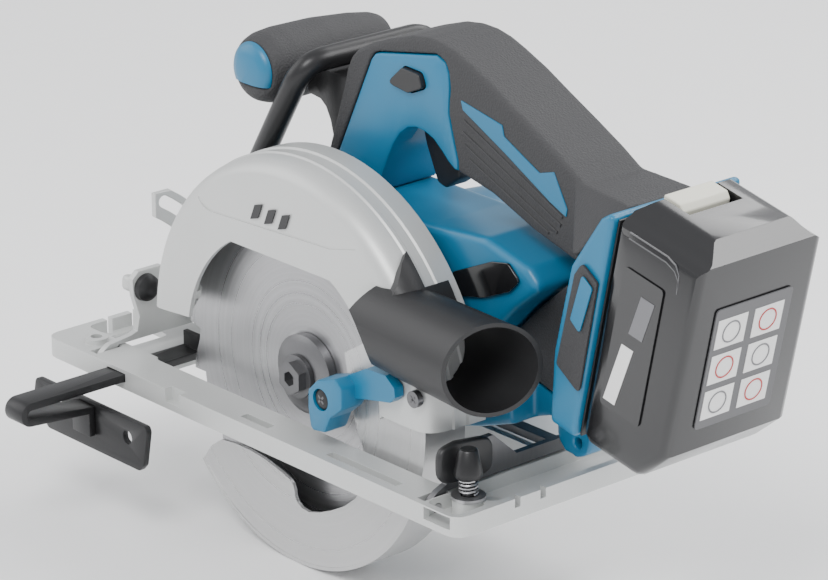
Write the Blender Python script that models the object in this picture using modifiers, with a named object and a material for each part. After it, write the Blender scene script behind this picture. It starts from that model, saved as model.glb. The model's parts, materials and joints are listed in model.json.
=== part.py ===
"""Cordless circular saw: base, bevelling and depth-adjusting head, guards, blade, fence and battery.

Metres, +Z up. +X points to the rear of the saw, +Y to its right, and -Y is the blade side.
The origin is on the sole, under the arbor and in the centre plane of the handle.
"""
import math

import bmesh
import bpy
from mathutils import Matrix, Vector

MM = 0.001                      # sizes below are written in millimetres times MM
GAP = 0.3 * MM                  # clearance between touching pieces

# Driving dimensions
BLADE_Y = -48 * MM              # centre plane of the blade
BLADE_RADIUS = 82.5 * MM
ARBOR_Z = 26 * MM               # arbor above the sole at full depth
GUARD_RADIUS = 84.6 * MM
CASE_RADIUS = 94 * MM
CASE_CENTRE = (-2 * MM, 27.4 * MM)
BASE_X = (-146 * MM, 128 * MM)
BASE_Y = (BLADE_Y - 33 * MM, BLADE_Y + 107 * MM)
RIM_Z = 9 * MM                  # height of the base's rim
FLOOR_Z = 3 * MM                # thickness of the base's floor
SLOT_X = (-92 * MM, 98 * MM)
SLOT_Y = (BLADE_Y - 14.5 * MM, BLADE_Y + 40 * MM)
BEVEL_AXIS = (BLADE_Y - 24 * MM, 4.5 * MM)      # y, z of the bevel hinge, which runs along X
DEPTH_AXIS = (-99 * MM, 24 * MM)                # x, z of the depth hinge, which runs along Y
BEVEL_BOLT_RADIUS = 74 * MM
BEVEL_BOLT_ANGLE = 9.0
BEVEL_TRAVEL = 50.0
DEPTH_BOLT_RADIUS = 50 * MM
DEPTH_BOLT_ANGLE = 3.0
DEPTH_TRAVEL = 35.0
TRIGGER_AXIS = (24 * MM, 139 * MM)
MOTOR_AXIS = (16 * MM, 53 * MM)
SHAFT_LOCK = (BLADE_Y + 26.5 * MM, 66 * MM)     # y, z of the shaft lock, which slides along X
BATTERY_ORIGIN = (162.5 * MM, 88 * MM)          # x, z where the pack meets its holder
BATTERY_TILT = 12.0                             # degrees from the vertical
BATTERY_WIDTH = 68 * MM
BATTERY_Y = -3.5 * MM                           # centre plane of the battery
GRIP_WIDTH = 34 * MM
FENCE_X = (-101 * MM, -88.5 * MM)
FENCE_Z = (3.5 * MM, 7 * MM)
THUMB_SCREW = (115.5 * MM, BLADE_Y - 15.5 * MM)
REAR_CLAMP = (BLADE_Y - 9.8 * MM, 21.8 * MM)    # y, z of the wing knob on the rear bracket
FRONT_BOSS = (-124.5 * MM, BLADE_Y - 21 * MM)
STOP_CENTRE = (BLADE_Y - 1.5 * MM, 33 * MM)      # y, z of the bevel stop

SILVER = (0.62, 0.62, 0.60)
STEEL = (0.52, 0.52, 0.53)
BLUE = (0.02, 0.22, 0.38)
RUBBER = (0.045, 0.045, 0.047)
BLACK = (0.012, 0.012, 0.013)
CREAM = (0.78, 0.77, 0.66)


def scene_collection(name):
    collection = bpy.data.collections.new(name)
    bpy.context.scene.collection.children.link(collection)
    return collection


for leftover in list(bpy.data.objects):
    bpy.data.objects.remove(leftover)
PARTS = scene_collection("circular_saw")
CUTTERS = scene_collection("cutters")


def material(name, colour, roughness, metallic):
    """A Principled material of one colour."""
    made = bpy.data.materials.new(name)
    made.use_nodes = True
    shader = made.node_tree.nodes["Principled BSDF"]
    shader.inputs["Base Color"].default_value = (*colour, 1)
    shader.inputs["Roughness"].default_value = roughness
    shader.inputs["Metallic"].default_value = metallic
    return made


# ---------------------------------------------------------------- outlines

def points(*pairs):
    """Millimetre pairs as metres."""
    return [(u * MM, v * MM) for u, v in pairs]


def arc(centre, radius, start, end, steps):
    """Points along an arc, in degrees."""
    turns = [math.radians(start + (end - start) * i / steps) for i in range(steps + 1)]
    return [(centre[0] + radius * math.cos(t), centre[1] + radius * math.sin(t)) for t in turns]


def circle(centre, radius, steps=24):
    return arc(centre, radius, 0, 360, steps)[:-1]


def rectangle(u_range, v_range):
    return [(u_range[0], v_range[0]), (u_range[1], v_range[0]), (u_range[1], v_range[1]), (u_range[0], v_range[1])]


def band(centre, inner, outer, start, end, steps):
    """A ring sector."""
    return arc(centre, outer, start, end, steps) + arc(centre, inner, end, start, steps)


def arc_slot(centre, radius, half_width, start, end, steps):
    """A curved slot with round ends."""
    def end_at(angle, first):
        turn = math.radians(angle)
        middle = (centre[0] + radius * math.cos(turn), centre[1] + radius * math.sin(turn))
        return arc(middle, half_width, first, first + 180, 6)[1:-1]
    outer = arc(centre, radius + half_width, start, end, steps)
    inner = arc(centre, radius - half_width, end, start, steps)
    return outer + end_at(end, end) + inner + end_at(start, start + 180)


def rounded(corners, radius, steps=4):
    """A closed outline with each corner rounded."""
    made = []
    count = len(corners)
    for i, corner in enumerate(corners):
        here = Vector(corner)
        back = Vector(corners[i - 1]) - here
        ahead = Vector(corners[(i + 1) % count]) - here
        half = back.angle(ahead) / 2
        reach = min(radius / math.tan(half), back.length * 0.48, ahead.length * 0.48)
        start = here + back.normalized() * reach
        end = here + ahead.normalized() * reach
        for j in range(steps + 1):
            t = j / steps
            spot = start * (1 - t) ** 2 + here * 2 * t * (1 - t) + end * t ** 2
            made.append((spot.x, spot.y))
    return made


def grown(outline, distance):
    """An outline moved outward by a distance; its points run anticlockwise."""
    made = []
    count = len(outline)
    for i in range(count):
        here = Vector(outline[i])
        before = (here - Vector(outline[i - 1])).normalized()
        after = (Vector(outline[(i + 1) % count]) - here).normalized()
        normal = Vector((before.y + after.y, -before.x - after.x))
        normal.normalize()
        lean = max(0.4, normal.dot(Vector((before.y, -before.x))))
        spot = here + normal * distance / lean
        made.append((spot.x, spot.y))
    return made


# ---------------------------------------------------------------- makers

FRAMES = {
    "XZ": Matrix(((1, 0, 0), (0, 0, -1), (0, 1, 0))),
    "YZ": Matrix(((0, 0, 1), (1, 0, 0), (0, 1, 0))),
    "XY": Matrix.Identity(3),
}


def put(name, mesh, collection=None):
    made = bpy.data.objects.new(name, mesh)
    (collection or PARTS).objects.link(made)
    return made


def shade(made, angle=35):
    made.data.shade_smooth()
    made.data.set_sharp_from_angle(angle=math.radians(angle))


def plate(name, loops, span, plane, collection=None):
    """Extrude closed outlines (the first may hold holes) between two places along the plane's normal."""
    curve = bpy.data.curves.new(name, "CURVE")
    curve.dimensions = "2D"
    curve.fill_mode = "BOTH"
    curve.extrude = abs(span[1] - span[0]) / 2
    for loop in loops:
        spline = curve.splines.new("POLY")
        spline.points.add(len(loop) - 1)
        for point, (u, v) in zip(spline.points, loop):
            point.co = (u, v, 0, 1)
        spline.use_cyclic_u = True
    holder = put(name + "_outline", curve, collection)
    depsgraph = bpy.context.evaluated_depsgraph_get()
    mesh = bpy.data.meshes.new_from_object(holder.evaluated_get(depsgraph))
    bpy.data.objects.remove(holder)
    shape = bmesh.new()
    shape.from_mesh(mesh)
    bmesh.ops.remove_doubles(shape, verts=shape.verts, dist=1e-6)
    middle = (span[0] + span[1]) / 2
    normal = {"XZ": Vector((0, middle, 0)), "YZ": Vector((middle, 0, 0)), "XY": Vector((0, 0, middle))}[plane]
    bmesh.ops.transform(shape, matrix=Matrix.Translation(normal) @ FRAMES[plane].to_4x4(), verts=shape.verts)
    bmesh.ops.dissolve_limit(shape, angle_limit=math.radians(0.5), verts=shape.verts, edges=shape.edges)
    bmesh.ops.recalc_face_normals(shape, faces=shape.faces)
    shape.to_mesh(mesh)
    shape.free()
    return put(name, mesh, collection)


def box(name, x_range, y_range, z_range, collection=None):
    return plate(name, [rectangle(x_range, y_range)], z_range, "XY", collection)


def rod(name, axis, centre, radius, span, sides=24, end_radius=None, collection=None):
    """A cylinder or cone along X, Y or Z; centre holds its two other coordinates."""
    shape = bmesh.new()
    length = span[1] - span[0]
    bmesh.ops.create_cone(shape, cap_ends=True, segments=sides, radius1=radius,
                          radius2=radius if end_radius is None else end_radius, depth=length)
    middle = (span[0] + span[1]) / 2
    turn = {"X": Matrix.Rotation(math.pi / 2, 4, "Y"), "Y": Matrix.Rotation(-math.pi / 2, 4, "X"),
            "Z": Matrix.Identity(4)}[axis]
    place = {"X": (middle, *centre), "Y": (centre[0], middle, centre[1]), "Z": (*centre, middle)}[axis]
    bmesh.ops.transform(shape, matrix=Matrix.Translation(place) @ turn, verts=shape.verts)
    mesh = bpy.data.meshes.new(name)
    shape.to_mesh(mesh)
    shape.free()
    made = put(name, mesh, collection)
    shade(made)
    return made


def turned(name, axis, centre, profile, steps=48, collection=None):
    """Turn a (distance along the axis, radius) profile about an axis along X, Y or Z."""
    shape = bmesh.new()
    rings = []
    for along, radius in profile:
        if radius < 1e-7:
            rings.append([shape.verts.new((0, 0, along))])
            continue
        turns = [2 * math.pi * i / steps for i in range(steps)]
        rings.append([shape.verts.new((radius * math.cos(t), radius * math.sin(t), along)) for t in turns])
    for lower, upper in zip(rings, rings[1:]):
        for i in range(steps):
            j = (i + 1) % steps
            corners = [lower[i % len(lower)], lower[j % len(lower)], upper[j % len(upper)], upper[i % len(upper)]]
            shape.faces.new(list(dict.fromkeys(corners)))
    bmesh.ops.recalc_face_normals(shape, faces=shape.faces)
    turn = {"X": Matrix.Rotation(math.pi / 2, 4, "Y"), "Y": Matrix.Rotation(-math.pi / 2, 4, "X"),
            "Z": Matrix.Identity(4)}[axis]
    place = {"X": (0, *centre), "Y": (centre[0], 0, centre[1]), "Z": (*centre, 0)}[axis]
    bmesh.ops.transform(shape, matrix=Matrix.Translation(place) @ turn, verts=shape.verts)
    mesh = bpy.data.meshes.new(name)
    shape.to_mesh(mesh)
    shape.free()
    made = put(name, mesh, collection)
    shade(made)
    return made


def hull(name, corners, collection=None):
    """The convex solid around a set of corners."""
    shape = bmesh.new()
    for corner in corners:
        shape.verts.new(corner)
    bmesh.ops.convex_hull(shape, input=shape.verts)
    bmesh.ops.dissolve_limit(shape, angle_limit=math.radians(0.5), verts=shape.verts, edges=shape.edges)
    bmesh.ops.recalc_face_normals(shape, faces=shape.faces)
    mesh = bpy.data.meshes.new(name)
    shape.to_mesh(mesh)
    shape.free()
    return put(name, mesh, collection)


def join_or_cut(target, other, operation):
    """Add a Boolean modifier; the other object becomes a hidden cutter."""
    for collection in list(other.users_collection):
        collection.objects.unlink(other)
    CUTTERS.objects.link(other)
    other.name = other.name + "_tool"
    other.hide_render = True
    other.display_type = "WIRE"
    step = target.modifiers.new(operation.title(), "BOOLEAN")
    step.operation = operation
    step.object = other
    step.solver = "EXACT"


def cut(target, *others):
    for other in others:
        join_or_cut(target, other, "DIFFERENCE")


def join(target, *others):
    for other in others:
        join_or_cut(target, other, "UNION")


def soften(made, width, segments=2, angle=35):
    """Round the edges sharper than an angle."""
    step = made.modifiers.new("Bevel", "BEVEL")
    step.width = width
    step.segments = segments
    step.limit_method = "ANGLE"
    step.angle_limit = math.radians(angle)


def tilted(made):
    """Carry a piece drawn about the battery's origin to its leaning place."""
    made.location = (BATTERY_ORIGIN[0], 0, BATTERY_ORIGIN[1])
    made.rotation_euler = (0, math.radians(BATTERY_TILT), 0)


def battery_point(v, u):
    """World x, z of a point v behind and u above the battery's origin, in millimetres."""
    lean = math.radians(BATTERY_TILT)
    x = BATTERY_ORIGIN[0] + (v * math.cos(lean) + u * math.sin(lean)) * MM
    z = BATTERY_ORIGIN[1] + (u * math.cos(lean) - v * math.sin(lean)) * MM
    return (x, z)


def at_blade(start, end):
    """A span along Y given from the blade's plane, in millimetres."""
    return (BLADE_Y + start * MM, BLADE_Y + end * MM)


def finish(made, colour, roughness, metallic, parent):
    """Give a piece its material and its parent axis."""
    made.data.materials.clear()
    made.data.materials.append(material(made.name + "_finish", colour, roughness, metallic))
    made.parent = parent
    made.matrix_parent_inverse = parent.matrix_world.inverted()
    return made


def axis_empty(name, place, parent=None):
    made = bpy.data.objects.new(name, None)
    PARTS.objects.link(made)
    made.location = place
    made.parent = parent
    if parent:
        made.matrix_parent_inverse = Matrix.Translation(parent.matrix_world.translation).inverted()
    bpy.context.view_layer.update()
    return made


# ---------------------------------------------------------------- base

def make_base(parent):
    """The cast base: a rimmed tray with the blade slot, hinge windows, fence passage and bosses."""
    base = plate("base_plate", [rounded(rectangle(BASE_X, BASE_Y), 7 * MM)], (0, RIM_Z), "XY")
    left = BASE_Y[0]
    above = RIM_Z + 5 * MM
    below = -5 * MM
    strip_edge = SLOT_Y[0]
    tray = (FLOOR_Z, above)
    wall = 3.5 * MM
    front_tray = rounded(rectangle((BASE_X[0] + wall, SLOT_X[0] - 4 * MM), (strip_edge + 2 * MM, BASE_Y[1] - wall)),
                         4 * MM)
    right_tray = rounded(rectangle((SLOT_X[0] + 2 * MM, SLOT_X[1] + 3 * MM), (SLOT_Y[1] + wall, BASE_Y[1] - wall)),
                         4 * MM)
    rear_tray = rounded(rectangle((SLOT_X[1] + 7.5 * MM, BASE_X[1] - wall), (strip_edge + 4 * MM, BASE_Y[1] - wall)),
                        4 * MM)
    corner_tray = rounded(rectangle((106.5 * MM, BASE_X[1] - wall), (left + 3 * MM, strip_edge + 1 * MM)), 3 * MM)
    for name, outline in (("front_tray", front_tray), ("right_tray", right_tray), ("rear_tray", rear_tray),
                          ("corner_tray", corner_tray)):
        cut(base, plate(name, [outline], tray, "XY"))
    slot = rounded(rectangle(SLOT_X, SLOT_Y), 5 * MM)
    cut(base, plate("blade_slot", [slot], (below, above), "XY"))
    for number, centre_y in enumerate((BLADE_Y + 6 * MM, BLADE_Y + 46 * MM, BLADE_Y + 84 * MM)):
        window = rounded(rectangle((-138 * MM, -122 * MM), (centre_y - 11 * MM, centre_y + 11 * MM)), 3 * MM)
        cut(base, plate(f"front_window_{number}", [window], (below, above), "XY"))
    passage_x = (FENCE_X[0] - GAP, FENCE_X[1] + GAP)
    passage_z = (FENCE_Z[0] - GAP, FENCE_Z[1] + GAP)
    cut(base, box("fence_passage", passage_x, (left - 9 * MM, strip_edge + 4 * MM), passage_z))
    cut(base, box("fence_trough", passage_x, (strip_edge + 2 * MM, SLOT_Y[1] + 9 * MM), (passage_z[0], above)))
    cut(base, box("rear_passage", (108 * MM, 123.5 * MM), (left - 9 * MM, left + 9 * MM), (FLOOR_Z, 8.3 * MM)))
    pin_y, pin_z = BEVEL_AXIS
    ear_y = (pin_y - 6 * MM, strip_edge - 1.8 * MM)
    for end, ear_x in (("front", (-117.2 * MM, -112.4 * MM)), ("rear", (100.7 * MM, 105.3 * MM))):
        cut(base, box(f"{end}_ear_window", ear_x, ear_y, (below, above)))
        reach = (ear_x[0] - 1.5 * MM, ear_x[1] + 1.5 * MM)
        cut(base, rod(f"{end}_pin_hole", "X", (pin_y, pin_z), 2.3 * MM, reach))
    notch_z = (RIM_Z - 4 * MM, above)
    for number, offset in enumerate((0, 14)):
        notch_y = (BLADE_Y + (offset - 1.5) * MM, BLADE_Y + (offset + 1.5) * MM)
        cut(base, box(f"sight_notch_{number}", (BASE_X[0] - 9 * MM, BASE_X[0] + wall + 1 * MM), notch_y,
                      (below, above)))
        cut(base, box(f"rear_notch_{number}", (BASE_X[1] - wall - 1 * MM, BASE_X[1] + 9 * MM), notch_y, notch_z))
    cut(base, box("strip_notch", (-60 * MM, -50 * MM), (left - 9 * MM, left + 4 * MM), (FLOOR_Z, above)))
    for number, recess_x in enumerate(((-14 * MM, 4 * MM), (42 * MM, 86 * MM))):
        cut(base, box(f"strip_recess_{number}", recess_x, at_blade(-28.5, -24.5), (5.5 * MM, above)))
    boss = rod("fence_boss", "Z", FRONT_BOSS, 5.4 * MM, (1 * MM, 11.5 * MM))
    screw_boss = rod("screw_boss", "Z", THUMB_SCREW, 6.6 * MM, (1 * MM, 9.4 * MM), 32)
    join(base, boss, screw_boss)
    cut(base, rod("fence_boss_bore", "Z", FRONT_BOSS, 2.6 * MM, (FLOOR_Z, 20 * MM)))
    cut(base, rod("screw_boss_bore", "Z", THUMB_SCREW, 3 * MM, (FLOOR_Z, 20 * MM)))
    finish(base, SILVER, 0.45, 0.6, parent)


def make_quadrant(parent):
    """The slotted bevel quadrant that stands on the base."""
    inner = BEVEL_BOLT_RADIUS - 8 * MM
    outer = BEVEL_BOLT_RADIUS + 6 * MM
    edge_y = BLADE_Y + 9.3 * MM
    top_z = 72.5 * MM
    centre = BEVEL_AXIS
    foot_z = FLOOR_Z + GAP
    start = math.degrees(math.asin((foot_z - centre[1]) / outer))
    top_angle = math.degrees(math.asin((top_z - centre[1]) / outer))
    inner_angle = math.degrees(math.acos((edge_y - centre[0]) / inner))
    outline = arc(centre, outer, start, top_angle, 12) + [(edge_y, top_z)]
    outline += arc(centre, inner, inner_angle, start, 12)
    slot = arc_slot(centre, BEVEL_BOLT_RADIUS, 2.8 * MM, BEVEL_BOLT_ANGLE, BEVEL_BOLT_ANGLE + BEVEL_TRAVEL, 12)
    quadrant = plate("bevel_quadrant", [outline, slot], (-121.5 * MM, -118.5 * MM), "YZ")
    finish(quadrant, SILVER, 0.45, 0.6, parent)


def make_hinge_pins(parent):
    front = rod("hinge_pin_front", "X", BEVEL_AXIS, 2 * MM, (-118.3 * MM, -111.3 * MM))
    rear = rod("hinge_pin_rear", "X", BEVEL_AXIS, 2 * MM, (99.6 * MM, 106.4 * MM))
    finish(front, STEEL, 0.35, 0.9, parent)
    finish(rear, STEEL, 0.35, 0.9, parent)


def make_thumb_screw(parent, base_axis):
    """The sprung thumb screw of the rear fence seat, with its washer and spring."""
    washer = turned("screw_washer", "Z", THUMB_SCREW,
                    points((9.7, 3.2), (9.7, 7.2), (11, 7.2), (11, 3.2), (9.7, 3.2)), 32)
    finish(washer, STEEL, 0.35, 0.9, base_axis)
    coil = bpy.data.curves.new("screw_spring", "CURVE")
    coil.dimensions = "3D"
    coil.bevel_depth = 0.45 * MM
    coil.bevel_resolution = 1
    coil.use_fill_caps = True
    steps = 40
    spline = coil.splines.new("POLY")
    spline.points.add(steps)
    for i, point in enumerate(spline.points):
        turn = 2 * math.pi * 4 * i / steps
        rise = 11.9 * MM + 6 * MM * i / steps
        place = (THUMB_SCREW[0] + 3.8 * MM * math.cos(turn), THUMB_SCREW[1] + 3.8 * MM * math.sin(turn), rise)
        point.co = (*place, 1)
    spring = put("screw_spring", coil)
    finish(spring, STEEL, 0.35, 0.9, base_axis)
    profile = points((4, 0), (4, 2.7), (18.7, 2.7), (18.7, 5.4), (20.2, 5.9), (21.5, 5.8), (30.2, 4), (31, 3.2),
                     (31, 0))
    screw = turned("thumb_screw", "Z", THUMB_SCREW, profile, 32)
    finish(screw, BLACK, 0.45, 0.3, parent)


def make_fence(parent):
    """The rip fence: a strip through the base that curls under to carry a plate beside the sole."""
    inner_end = 11 * MM
    turn_y = -83 * MM
    turn_z = 1.6 * MM
    top_z = FENCE_Z[1]
    strip = FENCE_Z[1] - FENCE_Z[0]
    outer = arc((turn_y, turn_z), top_z - turn_z, 90, 270, 12)
    inner = arc((turn_y, turn_z), top_z - turn_z - strip, 270, 90, 10)
    flange = points((-52.8, -6.4), (-52.8, -17), (-49.8, -17), (-49.8, -3.4))
    outline = [(inner_end, top_z)] + outer + flange + inner + [(inner_end, FENCE_Z[0])]
    bar = plate("fence_bar", [[(BLADE_Y + y, z) for y, z in outline]], FENCE_X, "YZ")
    tab_x = (FENCE_X[0] + 1 * MM, FENCE_X[1] - 1 * MM)
    tab = box("fence_tab", tab_x, at_blade(8.5, 11), (FENCE_Z[0] + 1 * MM, 14 * MM))
    join(bar, tab)
    soften(bar, 0.6 * MM, 2, 50)
    finish(bar, BLACK, 0.4, 0.5, parent)
    face = rounded(points((-134, -12), (-124, -24.3), (-58, -24.3), (-55, -21), (-52, -5), (-53, -2.4), (-132, -2.4)),
                   3 * MM)
    holes = [circle((x * MM, -11 * MM), 3 * MM, 20) for x in (-115, -66)]
    guide = plate("fence_plate", [face, *holes], at_blade(-49.5, -46.5), "XZ")
    soften(guide, 0.6 * MM, 2, 50)
    finish(guide, BLACK, 0.4, 0.5, parent)


# ---------------------------------------------------------------- bevel frame

def make_bevel_frame(parent):
    """Brackets hinged on the base at its left edge, joined by a rail, with the lugs of the depth hinge."""
    pin_y, pin_z = BEVEL_AXIS

    def from_blade(*pairs):
        return [(BLADE_Y + u * MM, v * MM) for u, v in pairs]

    pin_hole = circle((pin_y, pin_z), 2.3 * MM, 16)
    turn = math.radians(BEVEL_BOLT_ANGLE)
    bolt = (pin_y + BEVEL_BOLT_RADIUS * math.cos(turn), pin_z + BEVEL_BOLT_RADIUS * math.sin(turn))
    front = from_blade((-28.2, 4.5), (-27, 1.5), (-24, 0.3), (-21, 1.5), (-17.2, 9.6), (58, 9.6), (58, 22), (46, 34),
                       (14, 34), (8, 41), (-5, 41), (-8.5, 38), (-8, 30), (-5, 20), (-6.5, 13.4), (-10, 12.2),
                       (-22, 10.8), (-26.5, 8))
    bracket = plate("bevel_bracket_front", [front, pin_hole], (-116.5 * MM, -113.5 * MM), "YZ")
    finish(bracket, SILVER, 0.45, 0.6, parent)
    rear = from_blade((-28.2, 4.5), (-27, 1.5), (-24, 0.3), (-21, 1.5), (-17.2, 9.6), (49.5, 9.6), (49.5, 15.4),
                      (21, 15.4), (8, 27), (-15.5, 27), (-17.5, 12.2), (-22, 10.4), (-26, 7.6))
    rear_bracket = plate("bevel_bracket_rear", [rear, pin_hole], (101.5 * MM, 104.5 * MM), "YZ")
    finish(rear_bracket, STEEL, 0.45, 0.7, parent)
    rail = box("bevel_rail", (-113.2 * MM, 101.2 * MM), at_blade(43.5, 49.5), (RIM_Z + 0.6 * MM, 13.5 * MM))
    finish(rail, STEEL, 0.45, 0.7, parent)
    lug_hole = circle(DEPTH_AXIS, 2.8 * MM, 16)
    lug = points((-113.2, 16), (-99, 16), (-92.5, 20), (-92.5, 28), (-97, 32), (-113.2, 32))
    left = plate("depth_lug", [lug, lug_hole], at_blade(17, 20.4), "XZ")
    finish(left, SILVER, 0.45, 0.6, parent)
    inner = DEPTH_BOLT_RADIUS - 7 * MM
    outer = DEPTH_BOLT_RADIUS + 7 * MM
    last_angle = DEPTH_BOLT_ANGLE + DEPTH_TRAVEL
    sector = band(DEPTH_AXIS, inner, outer, DEPTH_BOLT_ANGLE - 9, last_angle + 9, 12)
    guide_slot = arc_slot(DEPTH_AXIS, DEPTH_BOLT_RADIUS, 2.9 * MM, DEPTH_BOLT_ANGLE, last_angle, 10)
    guide = plate("depth_guide", [sector, guide_slot], at_blade(36, 39.4), "XZ")
    web = points((-113.2, 16), (-99, 16), (-55, 17.6), (-55, 24), (-68, 50), (-99, 33), (-113.2, 32))
    web_plate = plate("guide_web", [web], at_blade(36.2, 39.2), "XZ")
    join(guide, web_plate)
    slot_again = plate("guide_slot_clear", [guide_slot], at_blade(30, 45), "XZ")
    cut(guide, slot_again, rod("guide_pin_hole", "Y", DEPTH_AXIS, 2.8 * MM, at_blade(30, 45)))
    finish(guide, STEEL, 0.4, 0.8, parent)
    pin = rod("depth_pin", "Y", DEPTH_AXIS, 2.5 * MM, at_blade(16.6, 40))
    finish(pin, STEEL, 0.35, 0.9, parent)
    shank = rod("bevel_clamp_bolt", "X", bolt, 2.5 * MM, (-121.7 * MM, -116.8 * MM))
    finish(shank, STEEL, 0.35, 0.9, parent)
    dome = turned("bevel_stop_bolt", "X", STOP_CENTRE,
                  points((-113.2, 0), (-113.2, 6.4), (-110.8, 5.9), (-109, 3.6), (-108.6, 0)), 24)
    finish(dome, BLACK, 0.3, 0.6, parent)
    return bolt


def make_bevel_controls(lever_axis, stop_axis, bolt):
    """The clamp lever on the quadrant's bolt, and the turning stop for set angles."""
    y, z = bolt
    arm = [(y, z - 4 * MM), (y, z + 4 * MM), (y - 31 * MM, z + 2 * MM), (y - 32 * MM, z - 5.5 * MM)]
    lever = plate("bevel_clamp_lever", [rounded(arm, 2 * MM)], (-129 * MM, -123 * MM), "YZ")
    join(lever, rod("clamp_boss", "X", bolt, 7 * MM, (-130 * MM, -122 * MM)))
    finish(lever, BLACK, 0.4, 0.2, lever_axis)
    tab = [(BLADE_Y + u * MM, v * MM) for u, v in
           ((-8, 31), (3, 28.2), (3.4, 35.5), (-7.6, 38.2))]
    stop = plate("bevel_stop", [rounded(tab, 2.5 * MM)], (-122.5 * MM, -117 * MM), "YZ")
    soften(stop, 0.8 * MM)
    finish(stop, SILVER, 0.4, 0.6, stop_axis)


def make_rear_clamp(axis):
    """The wing knob that clamps the rear bracket."""
    y, z = REAR_CLAMP
    corners = ((-14.6, -7), (-14.6, 8), (-5, 9.5), (14.6, 7), (14.6, -8), (5, -9.5))
    wing = rounded([(y + u * MM, z + v * MM) for u, v in corners], 7 * MM, 5)
    knob = plate("rear_clamp_knob", [wing], (104.8 * MM, 108.4 * MM), "YZ")
    soften(knob, 1.2 * MM, 3, 50)
    finish(knob, BLACK, 0.45, 0.0, axis)


# ---------------------------------------------------------------- head

CASE_PROFILE = points((-14.5, 0), (-14.5, 82), (-14.2, 85.5), (-13.3, 88.2), (-11.7, 90.2), (-9.4, 91.7),
                      (-6.5, 92.6), (-2.2, 93), (-1.4, 93.7), (0.2, 93.7), (0.9, 93), (5.2, 93.2), (6, 94),
                      (15.2, 94), (15.2, 0))
CASE_HOLLOW = points((-12.5, 0), (-12.5, 84.5), (-11.9, 87), (-10.5, 89.4), (-6, 91.2), (-3.5, 91.5), (13.2, 91.5),
                     (13.2, 0))


def shifted(profile, offset):
    return [(along + offset, radius) for along, radius in profile]


def make_upper_guard(parent):
    """The cast blade case: a turned shell with its window, its open underside and the bore for the gear boss."""
    case = turned("upper_guard", "Y", CASE_CENTRE, shifted(CASE_PROFILE, BLADE_Y), 96)
    cut(case, turned("case_hollow", "Y", CASE_CENTRE, shifted(CASE_HOLLOW, BLADE_Y), 96))
    under = points((-130, -110), (130, -110), (130, 28), (61, 28), (54, 15), (-57, 15), (-66, 35.5), (-130, 30))
    cut(case, plate("case_underside", [under], at_blade(-40, 40), "XZ"))
    crown = points((-62, 100), (-57.4, 91.5), (-54, 89), (-49, 88), (-20, 89.5), (29, 92), (45, 96), (60, 110),
                   (0, 135))
    cut(case, plate("face_recess", [crown], at_blade(-16, -13.9), "XZ"))
    window = arc((0, ARBOR_Z), 60 * MM, 0, 61, 16) + arc((-4 * MM, 24 * MM), 63 * MM, 120.6, 180, 16)
    window += points((-67, 20), (-67, -90), (60, -90))
    cut(case, plate("case_window", [window], at_blade(-30, -10), "XZ"))
    cut(case, rod("gear_bore", "Y", (0, ARBOR_Z), 14.5 * MM, at_blade(10, 30), 32))
    finish(case, (0.68, 0.68, 0.66), 0.4, 0.5, parent)


def make_gear_housing(parent):
    """The flat gear housing behind the case, with the boss that carries the lower guard and spindle."""
    outline = points((-50, 95.5), (-66, 92.5), (-62, 78), (-44, 40), (-30, 18), (0, 14), (30, 16), (60, 40), (62, 74),
                     (40, 96), (0, 102))
    housing = plate("gear_housing", [rounded(list(reversed(outline)), 6 * MM)], at_blade(15.5, 20.6), "XZ")
    join(housing, rod("gear_boss", "Y", (0, ARBOR_Z), 14 * MM, at_blade(4.8, 18), 32))
    cut(housing, rod("spindle_bore", "Y", (0, ARBOR_Z), 6.4 * MM, at_blade(0, 19.5), 24))
    finish(housing, SILVER, 0.5, 0.5, parent)
    arm = arc(DEPTH_AXIS, 7 * MM, 90, 270, 8) + points((-39, 20), (-39, 54), (-60, 40))
    knuckle = plate("pivot_arm", [arm, circle(DEPTH_AXIS, 2.8 * MM, 16)], at_blade(20.9, 35.4), "XZ")
    finish(knuckle, SILVER, 0.5, 0.5, parent)


def make_main_housing(parent):
    """The blue body under the handle, with its rear foot, and the indicator panel on its left side."""
    outline = points((-38.5, 22), (-20, 16), (70, 16), (82, 19.5), (113.5, 31), (114.5, 21), (119, 16.6), (126.5, 16),
                     (132.5, 19.5), (134, 26), (131.5, 33), (116, 39), (95, 44), (88, 61), (102, 76), (118, 90),
                     (110, 97), (84, 103), (50, 99.6), (-38.5, 99.6))
    housing = plate("main_housing", [rounded(outline, 4 * MM, 3)], at_blade(20.9, 66), "XZ")
    soften(housing, 3 * MM, 2, 50)
    foot_step = box("foot_step", (101 * MM, 150 * MM), at_blade(10, 34.5), (0, 42 * MM))
    foot_hole = rod("foot_hole", "Y", (126.2 * MM, 22.7 * MM), 2.5 * MM, at_blade(10, 80))
    lock_bore = rod("shaft_lock_bore", "X", SHAFT_LOCK, 3.4 * MM, (-60 * MM, -34 * MM))
    cut(housing, foot_step, foot_hole, lock_bore)
    finish(housing, BLUE, 0.4, 0.0, parent)
    panel = points((66, 84), (71, 75), (85, 78), (101, 85), (107, 91), (100, 97), (90, 95))
    plate_made = plate("indicator_panel", [rounded(panel, 2 * MM, 3)], at_blade(19.4, 20.6), "XZ")
    finish(plate_made, BLACK, 0.3, 0.0, parent)


ARCH = points((6, 100), (9.3, 108), (13.2, 117), (17.2, 124.8), (21.2, 130), (26, 133.6), (31, 134.9), (36.5, 134.4),
              (42, 132.4), (47, 128.6), (51, 125), (54.5, 122.8), (57, 122))
CORE = points((-25, 100)) + ARCH + points((56.8, 127), (54, 136), (51.2, 146), (51.8, 157), (51.4, 163), (49, 167.4),
                                          (44, 169.3), (9, 162.5), (5.5, 161.4), (3, 158.5))


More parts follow.
